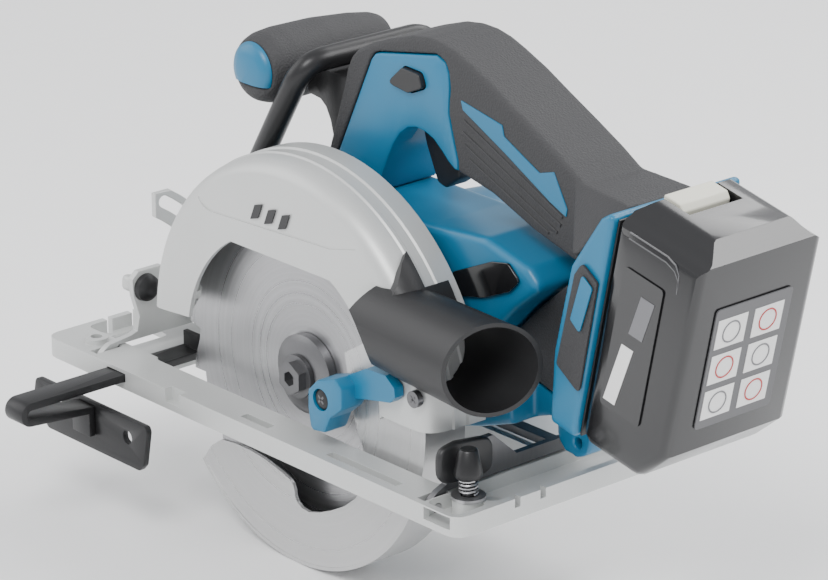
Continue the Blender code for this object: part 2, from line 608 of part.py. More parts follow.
def grip_outline():
    """The outer line of the handle from the front of the column, over the grip, to the battery holder."""
    top = points((142.2, 128.4), (132, 134.9), (120, 142), (106, 149.2), (88, 158), (75, 164.6), (62, 170), (54, 172.9), (46, 174.6), (37, 175),
                 (27, 173.6), (14, 169.4), (2, 164.8), (-6, 160.4), (-10, 156.5),
                 (-12.8, 151), (-15, 143), (-29.5, 100))
    under = ARCH + points((63, 121), (78, 118), (102, 109), (126, 102.5))
    holder = [battery_point(v, u) for v, u in ((-21, 9), (-20.6, 20), (-9.4, 46.6), (-14, 44), (-24, 38))]
    return under + holder + top


def make_handle(parent):
    """The handle: a rubber loop around a blue panel, with a slot for the trigger."""
    half = GRIP_WIDTH / 2
    grip = plate("handle_grip", [grip_outline()], (-half, half), "XZ")
    soften(grip, 7 * MM, 3, 50)
    front_x, front_z = 126 * MM, (112 * MM, 136 * MM)
    corners = [(front_x, y, z) for y in (-half + 1 * MM, half - 1 * MM) for z in front_z]
    for v, u, reach in ((-20.2, 21.5, 34), (-14.6, 35, 29.5), (-9.4, 46.6, 17.5)):
        x, z = battery_point(v, u)
        corners += [(x, BATTERY_Y + side * reach * MM, z) for side in (-1, 1)]
    flare = hull("grip_flare", corners)
    soften(flare, 3 * MM, 3, 50)
    join(grip, flare)
    cut(grip, plate("core_room", [grown(CORE, 0.4 * MM)], (-half - 5 * MM, half + 5 * MM), "XZ"))
    trigger_room = ((17 * MM, 59 * MM), (-6.8 * MM, 6.8 * MM), (100 * MM, 148 * MM))
    cut(grip, box("grip_trigger_room", *trigger_room))
    finish(grip, RUBBER, 0.8, 0.0, parent)
    core = plate("handle_panel", [CORE], (-half - 0.2 * MM, half + 0.2 * MM), "XZ")
    soften(core, 3 * MM, 2, 50)
    cut(core, box("panel_trigger_room", *trigger_room))
    cut(core, plate("lock_hole", [grown(lock_outline(), 0.5 * MM)], (-30 * MM, 30 * MM), "XZ"))
    finish(core, BLUE, 0.4, 0.0, parent)


def lock_outline():
    """The lens shape of the lock-off button, clear of the trigger's room."""
    return rounded(points((15.5, 151.5), (29, 150), (38, 154), (35.5, 159.5), (25, 160)), 2 * MM, 3)


def make_controls(trigger_axis, lock_axis):
    trigger = points((19.5, 143), (25, 124), (32, 109), (37, 107.5), (46, 114), (47, 128), (44, 143))
    finger = plate("trigger", [rounded(trigger, 3 * MM)], (-6.2 * MM, 6.2 * MM), "XZ")
    soften(finger, 1.5 * MM)
    finish(finger, BLACK, 0.5, 0.0, trigger_axis)
    button = plate("lock_off_button", [lock_outline()], (-GRIP_WIDTH / 2 - 2.5 * MM, GRIP_WIDTH / 2 + 2.5 * MM), "XZ")
    finish(button, BLACK, 0.45, 0.0, lock_axis)


def make_motor(parent):
    """The turned motor housing and its vented end cap."""
    body = turned("motor_housing", "Y", MOTOR_AXIS,
                  shifted(points((66.3, 0), (66.3, 40), (100, 37), (100, 0)), BLADE_Y), 48)
    finish(body, BLUE, 0.4, 0.0, parent)
    cap = turned("motor_cap", "Y", MOTOR_AXIS,
                 shifted(points((100.3, 0), (100.3, 37), (105, 36), (109, 31), (110, 26), (110, 0)), BLADE_Y), 48)
    finish(cap, BLACK, 0.5, 0.0, parent)


def make_battery_holder(parent):
    """The holder that leans at the rear, its face, its side pads with inlays, and the lower housing before it."""
    shell_outline = points((-1.5, -50), (-1.5, 50), (-4.5, 50.5), (-8.5, 46.4), (-19.5, 20), (-20.5, -20), (-16, -50))
    half = BATTERY_WIDTH / 2 + 1.5 * MM
    width = (BATTERY_Y - half, BATTERY_Y + half)
    shell = plate("battery_holder", [shell_outline], width, "XZ")
    soften(shell, 2 * MM, 2, 50)
    tilted(shell)
    finish(shell, BLUE, 0.4, 0.0, parent)
    face = plate("holder_face", [points((-0.3, -49), (-0.3, 49), (-1.2, 49), (-1.2, -49))],
                 (width[0] + 3 * MM, width[1] - 3 * MM), "XZ")
    tilted(face)
    finish(face, BLACK, 0.5, 0.0, parent)
    pad = rounded(points((-1.8, -28.8), (-2.4, 21), (-12.2, 25), (-15, 18.9), (-16.3, -22.8)), 1.5 * MM, 2)
    inlay = rounded(points((-5.9, -2.9), (-3.4, 18.4), (-9.9, 21.4), (-12, 0.4)), 1 * MM, 2)
    for side, sign in (("left", -1), ("right", 1)):
        reach = sorted((BATTERY_Y + sign * (half + GAP), BATTERY_Y + sign * (half + 1.8 * MM)))
        side_pad = plate(f"holder_pad_{side}", [pad], reach, "XZ")
        tilted(side_pad)
        finish(side_pad, RUBBER, 0.8, 0.0, parent)
        proud = sorted((BATTERY_Y + sign * (half + 2.1 * MM), BATTERY_Y + sign * (half + 3 * MM)))
        side_inlay = plate(f"holder_inlay_{side}", [inlay], proud, "XZ")
        tilted(side_inlay)
        finish(side_inlay, BLUE, 0.4, 0.0, parent)
    front_face = [battery_point(-21, u) for u in (-20, -2)]
    outline = points((96, 45), (117, 40), (127.5, 36.8)) + [battery_point(-17.2, -46)] + front_face
    outline += points((128, 91), (120.5, 90), (103.5, 75.5), (89, 60.5))
    lower = plate("lower_housing", [outline], at_blade(33, 63), "XZ")
    finish(lower, RUBBER, 0.7, 0.0, parent)


def make_nozzle(parent):
    """The dust nozzle: a tube behind the case with a hood over its face and a wrap on its rim."""
    middle = (121 * MM, BLADE_Y - 8 * MM, 64.2 * MM)
    droop = math.radians(2.5)

    def drooping(made):
        made.location = middle
        made.rotation_euler = (0, droop, 0)
        return made

    def on_rim(radius, angle, offset):
        turn = math.radians(angle)
        x = CASE_CENTRE[0] + radius * MM * math.cos(turn)
        return (x, BLADE_Y + offset * MM, CASE_CENTRE[1] + radius * MM * math.sin(turn))

    nozzle = drooping(rod("dust_nozzle", "X", (0, 0), 18.5 * MM, (-76 * MM, 20 * MM), 56, 20.4 * MM))
    wrap = band(CASE_CENTRE, CASE_RADIUS - 3 * MM, CASE_RADIUS + 2.3 * MM, 21, 37, 8)
    rounding = shifted(points((-17.2, 0), (-17.2, 86), (-16.8, 89.5), (-15.6, 92), (-13.4, 94.2), (-10.5, 95.8),
                              (-6.5, 96.7), (-3, 96.8), (-3, 0)), BLADE_Y)
    tab = turned("rim_tab", "Y", CASE_CENTRE, rounding, 96)
    sector = [on_rim(radius, angle, y) for angle, y in ((21, -18), (36, -18), (21, -2.9), (47, -2.9))
              for radius in (70, 110)]
    join_or_cut(tab, hull("tab_sector", sector), "INTERSECT")
    join(nozzle, plate("nozzle_wrap", [wrap], at_blade(-4, 10), "XZ"), tab)
    hood = shifted(points((-50, 0), (-50, 99.3), (-11, 57.7), (40, 57.7), (40, 0)), BLADE_Y)
    cut(nozzle, turned("hood_clear", "Y", (0, ARBOR_Z), hood, 96))
    keep_out = shifted([(along - 0.3 * MM, radius + 0.35 * MM if radius else 0) for along, radius in CASE_PROFILE],
                       BLADE_Y)
    keep_out[-1] = (keep_out[-1][0] + 20 * MM, 0)
    keep_out[-2] = (keep_out[-1][0], keep_out[-2][1])
    cut(nozzle, turned("case_room", "Y", CASE_CENTRE, keep_out, 96))
    cut(nozzle, drooping(rod("nozzle_bore", "X", (0, 0), 17.3 * MM, (-49 * MM, 40 * MM), 56, 18.9 * MM)))
    corner = points((47.7, 65.2), (61.2, 89.1), (67.7, 97.6), (77.2, 102.8), (77.2, 125), (30, 125), (30, 65.2))
    cut(nozzle, plate("corner_trim", [corner], at_blade(-40, -14.6), "XZ"))
    cut(nozzle, rod("lever_channel", "Y", (0, ARBOR_Z), 78.5 * MM, at_blade(-21, -10), 96))
    mouth = box("mouth_cut", (0, 60 * MM), (-70 * MM, 70 * MM), (-70 * MM, 70 * MM))
    mouth.location = middle
    mouth.rotation_euler = (0, 0, math.radians(-22))
    cut(nozzle, mouth)
    finish(nozzle, BLACK, 0.5, 0.0, parent)
    screw_profile = shifted(points((-17.5, 0), (-17.5, 3.6), (-14.8, 3.6), (-14.8, 0)), BLADE_Y)
    screw = turned("nozzle_screw", "Y", (84 * MM, 43 * MM), screw_profile, 20)
    finish(screw, STEEL, 0.35, 0.9, parent)


def wire(name, route, radius, resolution=3):
    """A round bar along a route."""
    curve = bpy.data.curves.new(name, "CURVE")
    curve.dimensions = "3D"
    curve.bevel_depth = radius
    curve.bevel_resolution = resolution
    curve.use_fill_caps = True
    spline = curve.splines.new("POLY")
    spline.points.add(len(route) - 1)
    for point, place in zip(spline.points, route):
        point.co = (*place, 1)
    return put(name, curve)


def bend(before, corner, after, radius, steps=5):
    """Points of a bend between two straight runs."""
    corner = Vector(corner)
    start = corner + (Vector(before) - corner).normalized() * radius
    end = corner + (Vector(after) - corner).normalized() * radius
    ways = [i / steps for i in range(steps + 1)]
    return [start * (1 - t) ** 2 + corner * 2 * t * (1 - t) + end * t ** 2 for t in ways]


def make_front_grip(parent):
    """The guard bar over the case, and the transverse front grip with its blue end cap."""
    near, far = BLADE_Y + 21.2 * MM, BLADE_Y + 92 * MM
    foot = Vector((-60.5 * MM, near, 98.5 * MM))
    corner = Vector((-29 * MM, near, 151 * MM))
    far_corner = Vector((-28 * MM, far, 151 * MM))
    far_foot = Vector((-17 * MM, far, 92 * MM))
    near_bend = bend(foot, corner, far_corner, 12 * MM, 9)
    far_bend = bend(corner, far_corner, far_foot, 12 * MM, 9)
    route = [foot, *near_bend, *far_bend, far_foot]
    bar = wire("guard_bar", route, 5.2 * MM, 5)
    finish(bar, BLACK, 0.35, 0.4, parent)
    axis = (-61 * MM, 141 * MM)
    knob_profile = shifted(points((20.3, 0), (20.3, 13.2), (22, 14.2), (26, 15.6), (34, 16.3), (55, 16), (75, 14.2),
                                  (86, 12.4), (90, 10.8), (92.4, 7.5), (93, 0)), BLADE_Y)
    knob = turned("front_grip", "Y", axis, knob_profile, 48)
    chin_profile = shifted(points((17, 0), (17.6, 9), (19, 12), (20.6, 13.3), (23, 13.3), (23, 0)), BLADE_Y)
    chin = turned("grip_chin", "Y", axis, chin_profile, 48)
    cut(chin, box("chin_top", (-90 * MM, -30 * MM), at_blade(10, 20.2), (axis[1] - 6 * MM, 170 * MM)))
    join(knob, chin)
    finish(knob, RUBBER, 0.8, 0.0, parent)
    cap_profile = shifted(points((16, 0), (16.3, 7), (17.4, 10.5), (18.8, 12.1), (20, 12.4), (20, 0)), BLADE_Y)
    cap = turned("front_grip_cap", "Y", axis, cap_profile, 48)
    cut(cap, box("cap_bottom", (-90 * MM, -30 * MM), at_blade(10, 30), (100 * MM, axis[1] - 5.6 * MM)))
    finish(cap, BLUE, 0.4, 0.0, parent)
    web = points((-44, 131.5), (-36, 130.6), (-32.5, 128), (-29.6, 122.8), (-28, 117), (-27, 111.5), (-26.4, 111.5),
                 (-16, 142.5), (-16, 144.6), (-44, 144))
    neck = plate("grip_neck", [web], at_blade(36, 78), "XZ")
    soften(neck, 2 * MM, 2, 50)
    finish(neck, BLACK, 0.4, 0.2, parent)


def make_depth_clamp(head, lever_axis):
    """The clamp bolt in the depth guide's slot, and its lever."""
    turn = math.radians(DEPTH_BOLT_ANGLE)
    x = DEPTH_AXIS[0] + DEPTH_BOLT_RADIUS * math.cos(turn)
    z = DEPTH_AXIS[1] + DEPTH_BOLT_RADIUS * math.sin(turn)
    bolt = rod("depth_clamp_bolt", "Y", (x, z), 2.5 * MM, at_blade(35.7, 39.8))
    finish(bolt, STEEL, 0.35, 0.9, head)
    arm = [(x + 3 * MM, z + 2 * MM), (x - 14 * MM, z + 30 * MM), (x - 20 * MM, z + 28 * MM), (x - 5 * MM, z - 2 * MM)]
    lever = plate("depth_clamp_lever", [rounded(arm, 2 * MM)], at_blade(42, 47), "XZ")
    join(lever, rod("depth_lever_boss", "Y", (x, z), 6 * MM, at_blade(40.1, 48)))
    finish(lever, BLACK, 0.4, 0.2, lever_axis)


def make_shaft_lock(axis):
    button = turned("shaft_lock", "X", SHAFT_LOCK,
                    points((-49, 0), (-49, 4), (-48, 5), (-42, 5), (-42, 3), (-38.9, 3), (-38.9, 0)), 20)
    finish(button, BLACK, 0.45, 0.0, axis)


# ---------------------------------------------------------------- blade and lower guard

def make_blade(axis):
    """The toothed blade between its flanges, with the spindle and the clamping bolt."""
    teeth = 24
    pitch = 360 / teeth
    centre = (0, ARBOR_Z)
    outline = []
    for number in range(teeth):
        start = number * pitch
        for turn, depth in ((0, 0), (1.4, 7), (5.5, 6), (11, 2)):
            angle = math.radians(start + turn)
            radius = BLADE_RADIUS - depth * MM
            outline.append((radius * math.cos(angle), ARBOR_Z + radius * math.sin(angle)))
    blade = plate("saw_blade", [outline, circle(centre, 8 * MM, 20)], at_blade(-0.8, 0.8), "XZ")
    finish(blade, STEEL, 0.25, 1.0, axis)
    outer = turned("outer_flange", "Y", centre,
                   shifted(points((-7, 0), (-7, 14), (-5, 17.4), (-1.1, 17.4), (-1.1, 0)), BLADE_Y), 32)
    finish(outer, BLACK, 0.35, 0.7, axis)
    inner = rod("inner_flange", "Y", centre, 17 * MM, at_blade(1.1, 4.3), 32)
    finish(inner, STEEL, 0.35, 0.9, axis)
    spindle = rod("spindle", "Y", centre, 6 * MM, at_blade(4.6, 18.8), 20)
    finish(spindle, STEEL, 0.3, 1.0, axis)
    bolt = rod("blade_bolt", "Y", centre, 7.4 * MM, at_blade(-13.2, -7.3), 6)
    washer = rod("bolt_washer", "Y", centre, 9.5 * MM, at_blade(-9.2, -7.3), 24)
    join(bolt, washer)
    cut(bolt, rod("bolt_socket", "Y", centre, 3.4 * MM, at_blade(-16, -9.5), 6))
    finish(bolt, BLACK, 0.3, 0.8, axis)


def make_lower_guard(axis):
    """The swinging guard: two cheeks and a rim, open at the leading edge, with a hub on the gear boss."""
    centre = (0, ARBOR_Z)
    lead, trail = 222, 392

    def polar(*pairs):
        turns = [(radius * MM, math.radians(angle)) for radius, angle in pairs]
        return [(radius * math.cos(t), ARBOR_Z + radius * math.sin(t)) for radius, t in turns]

    rim = plate("lower_guard", [band(centre, 83 * MM, GUARD_RADIUS, lead, trail, 60)], at_blade(-11.2, 10.5), "XZ")
    front_inner = polar((40, 392), (40, 352), (43, 345), (48, 339), (53, 332), (57, 322), (58.4, 313), (58.4, 304),
                        (58.4, 294), (58.9, 286), (59.4, 279), (58.6, 274.6), (56.6, 271.6), (54.3, 270.2), (51.6, 269.8),
                        (49.2, 268.6), (47.6, 265.6), (46.9, 261), (46.7, 255.5), (47.2, 249), (48.3, 243.5), (51.8, 235),
                        (58, 227), (65.7, 221.4), (74, 220.6))
    front = arc(centre, 84.2 * MM, lead, trail, 60) + front_inner
    join(rim, plate("front_cheek", [front], at_blade(-11, -9.4), "XZ"))
    back_inner = polar((26, 392)) + arc(centre, 22 * MM, 20, 90, 4) + arc(centre, 22 * MM, 100, 270, 8)
    back = arc(centre, 84.2 * MM, lead, trail, 60) + back_inner + polar((24, 290), (50, 250), (68, 221.6))
    back_cheek = plate("back_cheek", [back], at_blade(8.5, 10.3), "XZ")
    join(rim, back_cheek)
    cut(rim, rod("hub_bore", "Y", centre, 14.6 * MM, at_blade(5, 14), 32))
    finish(rim, STEEL, 0.3, 0.9, axis)


LEVER_SCREW = (37.8 * MM, 31.7 * MM)


def make_guard_lever(axis):
    """The blue retracting lever screwed to the lower guard through the case's window."""
    boss = points((31, 16.2), (40, 17.5), (43.5, 25), (51, 31), (51, 40), (47, 43.5), (35, 39.5), (29.5, 34),
                  (29.3, 26))
    lever = plate("guard_lever", [rounded(boss, 2 * MM, 2)], at_blade(-27.5, -15), "XZ")
    soften(lever, 1.2 * MM, 2, 50)
    arm = points((50, 34), (58, 36), (73, 39), (76, 42), (75.5, 46), (70, 50), (58, 49.5), (46, 43))
    join(lever, plate("lever_arm", [arm], at_blade(-20, -15.2), "XZ"))
    post = rod("lever_post", "Y", (43.5 * MM, 33 * MM), 4.6 * MM, at_blade(-17, -11.8), 20)
    join(lever, post)
    cut(lever, rod("lever_screw_seat", "Y", LEVER_SCREW, 4.8 * MM, at_blade(-40, -25), 28))
    finish(lever, BLUE, 0.4, 0.0, axis)
    screw = turned("lever_screw", "Y", LEVER_SCREW,
                   shifted(points((-27.2, 0), (-27.2, 2.8), (-26.5, 4.3), (-25.3, 4.3), (-25.3, 0)), BLADE_Y), 28)
    finish(screw, STEEL, 0.35, 0.9, axis)


# ---------------------------------------------------------------- battery

def make_battery(axis, button_axis):
    """The slide-on pack with its side label, rear label and release button."""
    half = BATTERY_WIDTH / 2
    outline = points((0, -47), (5, -50), (33, -50), (45.8, -34), (45.8, 50), (38, 57), (5, 57), (0, 52))
    case = plate("battery_case", [outline], (BATTERY_Y - half, BATTERY_Y + half), "XZ")
    soften(case, 4 * MM, 3, 50)
    shoulder = points((-34, -60), (-34, 45), (-32.7, 47.8), (-30, 49.5), (-27, 51), (-24, 53.8), (-21.5, 56.3),
                      (-18.5, 57.5))
    form = shoulder + [(-y, z) for y, z in reversed(shoulder)]
    shoulders = plate("shoulder_form", [[(BATTERY_Y + y, z) for y, z in form]], (-10 * MM, 60 * MM), "YZ")
    tilted(shoulders)
    join_or_cut(case, shoulders, "INTERSECT")
    room_y = (-19 * MM, 10 * MM)
    room = box("button_recess", (-5 * MM, 19 * MM), room_y, (51.5 * MM, 70 * MM))
    tilted(room)
    cut(case, room)
    tilted(case)
    finish(case, BLACK, 0.35, 0.0, axis)
    side = BATTERY_Y - half
    label = plate("battery_label", [rounded([(8 * MM, -28 * MM), (30 * MM, -28 * MM), (30 * MM, 34 * MM),
                                             (8 * MM, 34 * MM)], 2 * MM)], (side - 0.9 * MM, side - GAP), "XZ")
    tilted(label)
    finish(label, RUBBER, 0.4, 0.0, axis)
    rear_outline = rounded(rectangle((-24.5 * MM, 17.5 * MM), (-24 * MM, 30 * MM)), 2 * MM)
    rear = plate("battery_rear_label", [rear_outline], (46.1 * MM, 46.7 * MM), "YZ")
    tilted(rear)
    finish(rear, (0.2, 0.2, 0.2), 0.4, 0.0, axis)
    button_outline = points((3, 51.9), (14.2, 51.9), (14.2, 55), (12, 57.6), (3, 57.6))
    button = plate("release_button", [button_outline], (-17.5 * MM, 8.5 * MM), "XZ")
    tilted(button)
    finish(button, CREAM, 0.5, 0.0, button_axis)


# ---------------------------------------------------------------- assembly

def build():
    base_axis = axis_empty("base_axis", (0, 0, 0))
    bevel_axis = axis_empty("bevel_axis", (0, *BEVEL_AXIS), base_axis)
    head_axis = axis_empty("head_axis", (DEPTH_AXIS[0], 0, DEPTH_AXIS[1]), bevel_axis)
    arbor_axis = axis_empty("arbor_axis", (0, BLADE_Y, ARBOR_Z), head_axis)
    guard_axis = axis_empty("guard_axis", (0, BLADE_Y, ARBOR_Z), head_axis)
    trigger_axis = axis_empty("trigger_axis", (TRIGGER_AXIS[0], 0, TRIGGER_AXIS[1]), head_axis)
    lock_axis = axis_empty("lock_axis", (26 * MM, 0, 155 * MM), head_axis)
    shaft_lock_axis = axis_empty("shaft_lock_axis", (-45 * MM, *SHAFT_LOCK), head_axis)
    battery_axis = axis_empty("battery_axis", (BATTERY_ORIGIN[0], 0, BATTERY_ORIGIN[1]), head_axis)
    button_axis = axis_empty("button_axis", (BATTERY_ORIGIN[0], 0, BATTERY_ORIGIN[1]), battery_axis)
    fence_axis = axis_empty("fence_axis", (-94.75 * MM, BLADE_Y, 5.25 * MM), base_axis)
    screw_axis = axis_empty("screw_axis", (*THUMB_SCREW, 20 * MM), base_axis)
    make_base(base_axis)
    make_quadrant(base_axis)
    make_hinge_pins(base_axis)
    make_thumb_screw(screw_axis, base_axis)
    make_fence(fence_axis)
    bolt = make_bevel_frame(bevel_axis)
    clamp_axis = axis_empty("clamp_axis", (-126 * MM, *bolt), bevel_axis)
    stop_axis = axis_empty("stop_axis", (-120 * MM, *STOP_CENTRE), bevel_axis)
    make_bevel_controls(clamp_axis, stop_axis, bolt)
    rear_clamp_axis = axis_empty("rear_clamp_axis", (106.5 * MM, *REAR_CLAMP), bevel_axis)
    make_rear_clamp(rear_clamp_axis)
    make_upper_guard(head_axis)
    make_gear_housing(head_axis)
    make_main_housing(head_axis)
    make_handle(head_axis)
    make_motor(head_axis)
    make_battery_holder(head_axis)
    make_nozzle(head_axis)
    make_front_grip(head_axis)
    turn = math.radians(DEPTH_BOLT_ANGLE)
    depth_lever_place = (DEPTH_AXIS[0] + DEPTH_BOLT_RADIUS * math.cos(turn), BLADE_Y + 44 * MM,
                         DEPTH_AXIS[1] + DEPTH_BOLT_RADIUS * math.sin(turn))
    depth_lever_axis = axis_empty("depth_lever_axis", depth_lever_place, head_axis)
    make_depth_clamp(head_axis, depth_lever_axis)
    make_controls(trigger_axis, lock_axis)
    make_shaft_lock(shaft_lock_axis)
    make_blade(arbor_axis)
    make_lower_guard(guard_axis)
    make_guard_lever(guard_axis)
    make_battery(battery_axis, button_axis)


build()
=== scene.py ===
"""Looks for the cordless circular saw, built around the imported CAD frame."""
import json
import math

import bmesh
import bpy
from mathutils import Euler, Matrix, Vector

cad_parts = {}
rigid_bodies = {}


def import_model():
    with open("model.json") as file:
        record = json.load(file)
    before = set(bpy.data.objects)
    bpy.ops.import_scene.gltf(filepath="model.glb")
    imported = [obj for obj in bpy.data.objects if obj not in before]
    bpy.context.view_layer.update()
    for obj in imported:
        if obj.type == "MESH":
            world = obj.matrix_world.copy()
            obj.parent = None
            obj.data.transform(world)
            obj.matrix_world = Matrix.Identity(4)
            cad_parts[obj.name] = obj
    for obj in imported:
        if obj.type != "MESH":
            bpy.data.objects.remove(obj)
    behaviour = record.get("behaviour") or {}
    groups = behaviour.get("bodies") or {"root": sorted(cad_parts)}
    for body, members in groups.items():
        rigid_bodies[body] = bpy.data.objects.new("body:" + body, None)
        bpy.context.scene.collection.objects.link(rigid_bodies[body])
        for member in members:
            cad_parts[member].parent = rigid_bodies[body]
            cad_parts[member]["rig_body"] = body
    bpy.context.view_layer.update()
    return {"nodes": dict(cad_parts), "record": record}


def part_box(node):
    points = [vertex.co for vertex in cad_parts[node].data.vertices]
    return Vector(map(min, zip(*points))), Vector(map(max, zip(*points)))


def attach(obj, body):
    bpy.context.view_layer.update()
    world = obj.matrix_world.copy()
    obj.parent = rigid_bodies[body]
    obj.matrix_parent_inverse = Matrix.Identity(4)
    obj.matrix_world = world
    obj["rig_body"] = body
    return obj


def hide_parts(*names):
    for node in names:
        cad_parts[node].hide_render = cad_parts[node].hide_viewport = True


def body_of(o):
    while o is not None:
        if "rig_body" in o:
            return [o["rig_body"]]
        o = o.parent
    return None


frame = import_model()
MM = 0.001
BLADE_Y = -48 * MM
ARBOR_Z = 26 * MM
GRIP_SIDE = 17 * MM                     # half the handle's width
BATTERY_ORIGIN = (162.5 * MM, 88 * MM)
BATTERY_LEAN = math.radians(12)
BATTERY_LEFT = -37.5 * MM
BATTERY_BACK = 46.65                    # height of the rear label's face above the pack's origin plane, in mm
FLOOR_SIDE = 6
FLOOR_LEVEL = -0.0588                   # just under the lower guard
SHARP_ANGLE = math.radians(35)
SLOTS = {row["node"]: row["material_slot"] for row in frame["record"]["subparts"]}


# ---------------------------------------------------------------- studio

def camera():
    eye = Vector((1.2236, -1.0610, 0.6552))
    target = Vector((0.03084, -0.018, 0.06375))
    data = bpy.data.cameras.new("camera")
    data.sensor_width = 36
    data.lens = 175.6
    data.clip_start = 0.01
    holder = bpy.data.objects.new("camera", data)
    bpy.context.scene.collection.objects.link(holder)
    turn = (target - eye).to_track_quat("-Z", "Y").to_matrix().to_4x4()
    roll = Euler((0, 0, math.radians(-0.25))).to_matrix().to_4x4()
    holder.matrix_world = turn @ roll
    holder.location = eye
    bpy.context.scene.camera = holder


def light(name, place, size, power):
    data = bpy.data.lights.new(name, "AREA")
    data.size = size
    data.energy = power
    holder = bpy.data.objects.new(name, data)
    bpy.context.scene.collection.objects.link(holder)
    holder.location = place
    holder.rotation_euler = (Vector((0, 0, 0.05)) - Vector(place)).to_track_quat("-Z", "Y").to_euler()


def studio():
    camera()
    world = bpy.data.worlds.new("studio")
    world.use_nodes = True
    world.node_tree.nodes["Background"].inputs["Color"].default_value = (0.96, 0.97, 1.0, 1)
    world.node_tree.nodes["Background"].inputs["Strength"].default_value = 0.85
    bpy.context.scene.world = world
    light("key", (0.7, -1.3, 1.7), 0.9, 34)
    light("fill", (-1.3, -0.9, 0.9), 1.4, 12)
    light("rim", (0.9, 0.9, 1.1), 0.8, 16)
    light("back", (-0.3, 1.4, 1.4), 1.0, 14)
    mesh = bpy.data.meshes.new("floor")
    corners = [(x * FLOOR_SIDE, y * FLOOR_SIDE, FLOOR_LEVEL) for x, y in ((-1, -1), (1, -1), (1, 1), (-1, 1))]
    mesh.from_pydata(corners, [], [(0, 1, 2, 3)])
    floor = bpy.data.objects.new("floor", mesh)
    bpy.context.scene.collection.objects.link(floor)
    floor.data.materials.append(surface("floor", (0.93, 0.93, 0.93), 0.8, grain_depth=0.0, mottle=0.01))


# ---------------------------------------------------------------- materials

def surface(name, colour, roughness, metallic=0.0, mottle=0.10, cloud=45.0, spread=0.06,
            grain=1300.0, grain_depth=0.06, stretch=(1, 1, 1), cells=False, coat=0.0, rings=False):
    """A worn surface: cloudy colour, uneven roughness and a fine relief."""
    made = bpy.data.materials.new(name)
    made.use_nodes = True
    tree = made.node_tree
    shader = tree.nodes["Principled BSDF"]
    shader.inputs["Metallic"].default_value = metallic
    shader.inputs["Coat Weight"].default_value = coat
    shader.inputs["Coat Roughness"].default_value = 0.08
    place = tree.nodes.new("ShaderNodeTexCoord").outputs["Object"]
    mapping = tree.nodes.new("ShaderNodeMapping")
    mapping.inputs["Scale"].default_value = stretch
    if rings:
        mapping.inputs["Location"].default_value = (0, 0, -ARBOR_Z)
    tree.links.new(place, mapping.inputs["Vector"])
    clouds = tree.nodes.new("ShaderNodeTexNoise")
    clouds.inputs["Scale"].default_value = cloud
    clouds.inputs["Detail"].default_value = 5
    fine = tree.nodes.new("ShaderNodeTexVoronoi" if cells else "ShaderNodeTexNoise")
    fine.inputs["Scale"].default_value = grain
    if rings:
        flat = tree.nodes.new("ShaderNodeVectorMath")
        flat.operation = "MULTIPLY"
        flat.inputs[1].default_value = (1, 0, 1)
        tree.links.new(mapping.outputs["Vector"], flat.inputs[0])
        reach = tree.nodes.new("ShaderNodeVectorMath")
        reach.operation = "LENGTH"
        tree.links.new(flat.outputs["Vector"], reach.inputs[0])
        for noise in (clouds, fine):
            noise.noise_dimensions = "1D"
            tree.links.new(reach.outputs["Value"], noise.inputs["W"])
    else:
        for noise in (clouds, fine):
            tree.links.new(mapping.outputs["Vector"], noise.inputs["Vector"])
    mix = tree.nodes.new("ShaderNodeMix")
    mix.data_type = "RGBA"
    mix.inputs[6].default_value = (*[part * (1 - mottle) for part in colour], 1)
    mix.inputs[7].default_value = (*[min(1.0, part * (1 + mottle)) for part in colour], 1)
    value = clouds.outputs[0]
    tree.links.new(value, mix.inputs[0])
    tree.links.new(mix.outputs[2], shader.inputs["Base Color"])
    rough = tree.nodes.new("ShaderNodeMapRange")
    rough.inputs["To Min"].default_value = max(0.02, roughness - spread)
    rough.inputs["To Max"].default_value = min(1.0, roughness + spread)
    tree.links.new(value, rough.inputs["Value"])
    tree.links.new(rough.outputs["Result"], shader.inputs["Roughness"])
    if grain_depth:
        bump = tree.nodes.new("ShaderNodeBump")
        bump.inputs["Strength"].default_value = grain_depth
        bump.inputs["Distance"].default_value = 0.4 * MM
        tree.links.new(fine.outputs["Distance" if cells else 0], bump.inputs["Height"])
        tree.links.new(bump.outputs["Normal"], shader.inputs["Normal"])
    return made


FINISHES = {
    "cast_silver": surface("cast_silver", (0.60, 0.61, 0.60), 0.42, 0.35, 0.05, 30, 0.06, 1800, 0.10),
    "steel": surface("steel", (0.50, 0.50, 0.51), 0.34, 0.95, 0.08, 60, 0.10, 900, 0.10, (1, 14, 1)),
    "black_metal": surface("black_metal", (0.018, 0.018, 0.019), 0.36, 0.3, 0.25, 50, 0.07, 1500, 0.10),
    "blue_plastic": surface("blue_plastic", (0.008, 0.150, 0.285), 0.36, 0.0, 0.06, 35, 0.05, 2200, 0.08),
    "black_plastic": surface("black_plastic", (0.016, 0.016, 0.017), 0.42, 0.0, 0.2, 45, 0.06, 2000, 0.12),
    # gloss black also gives the painted shade of the motor cap's vent slots
    "gloss_black": surface("gloss_black", (0.008, 0.008, 0.009), 0.20, 0.0, 0.2, 30, 0.05, 900, 0.02,
                           coat=0.5),
    "rubber": surface("rubber", (0.034, 0.034, 0.036), 0.66, 0.0, 0.2, 40, 0.08, 1100, 0.55, cells=True),
    "cream_plastic": surface("cream_plastic", (0.74, 0.73, 0.62), 0.45, 0.0, 0.04, 40, 0.05, 1800, 0.05),
    # the label finish also gives the painted shade of the screw crosses and the painted shading of the
    # battery grooves
    "label": surface("label", (0.10, 0.10, 0.105), 0.35, 0.0, 0.08, 60, 0.06, 900, 0.03),
}
BLADE_STEEL = surface("blade_steel", (0.44, 0.44, 0.45), 0.30, 0.9, 0.16, 420, 0.08, 2600, 0.20, rings=True)
CASE_MACHINED = surface("machined", (0.56, 0.56, 0.56), 0.3, 0.6, 0.08, 300, 0.08, 1600, 0.08, rings=True)
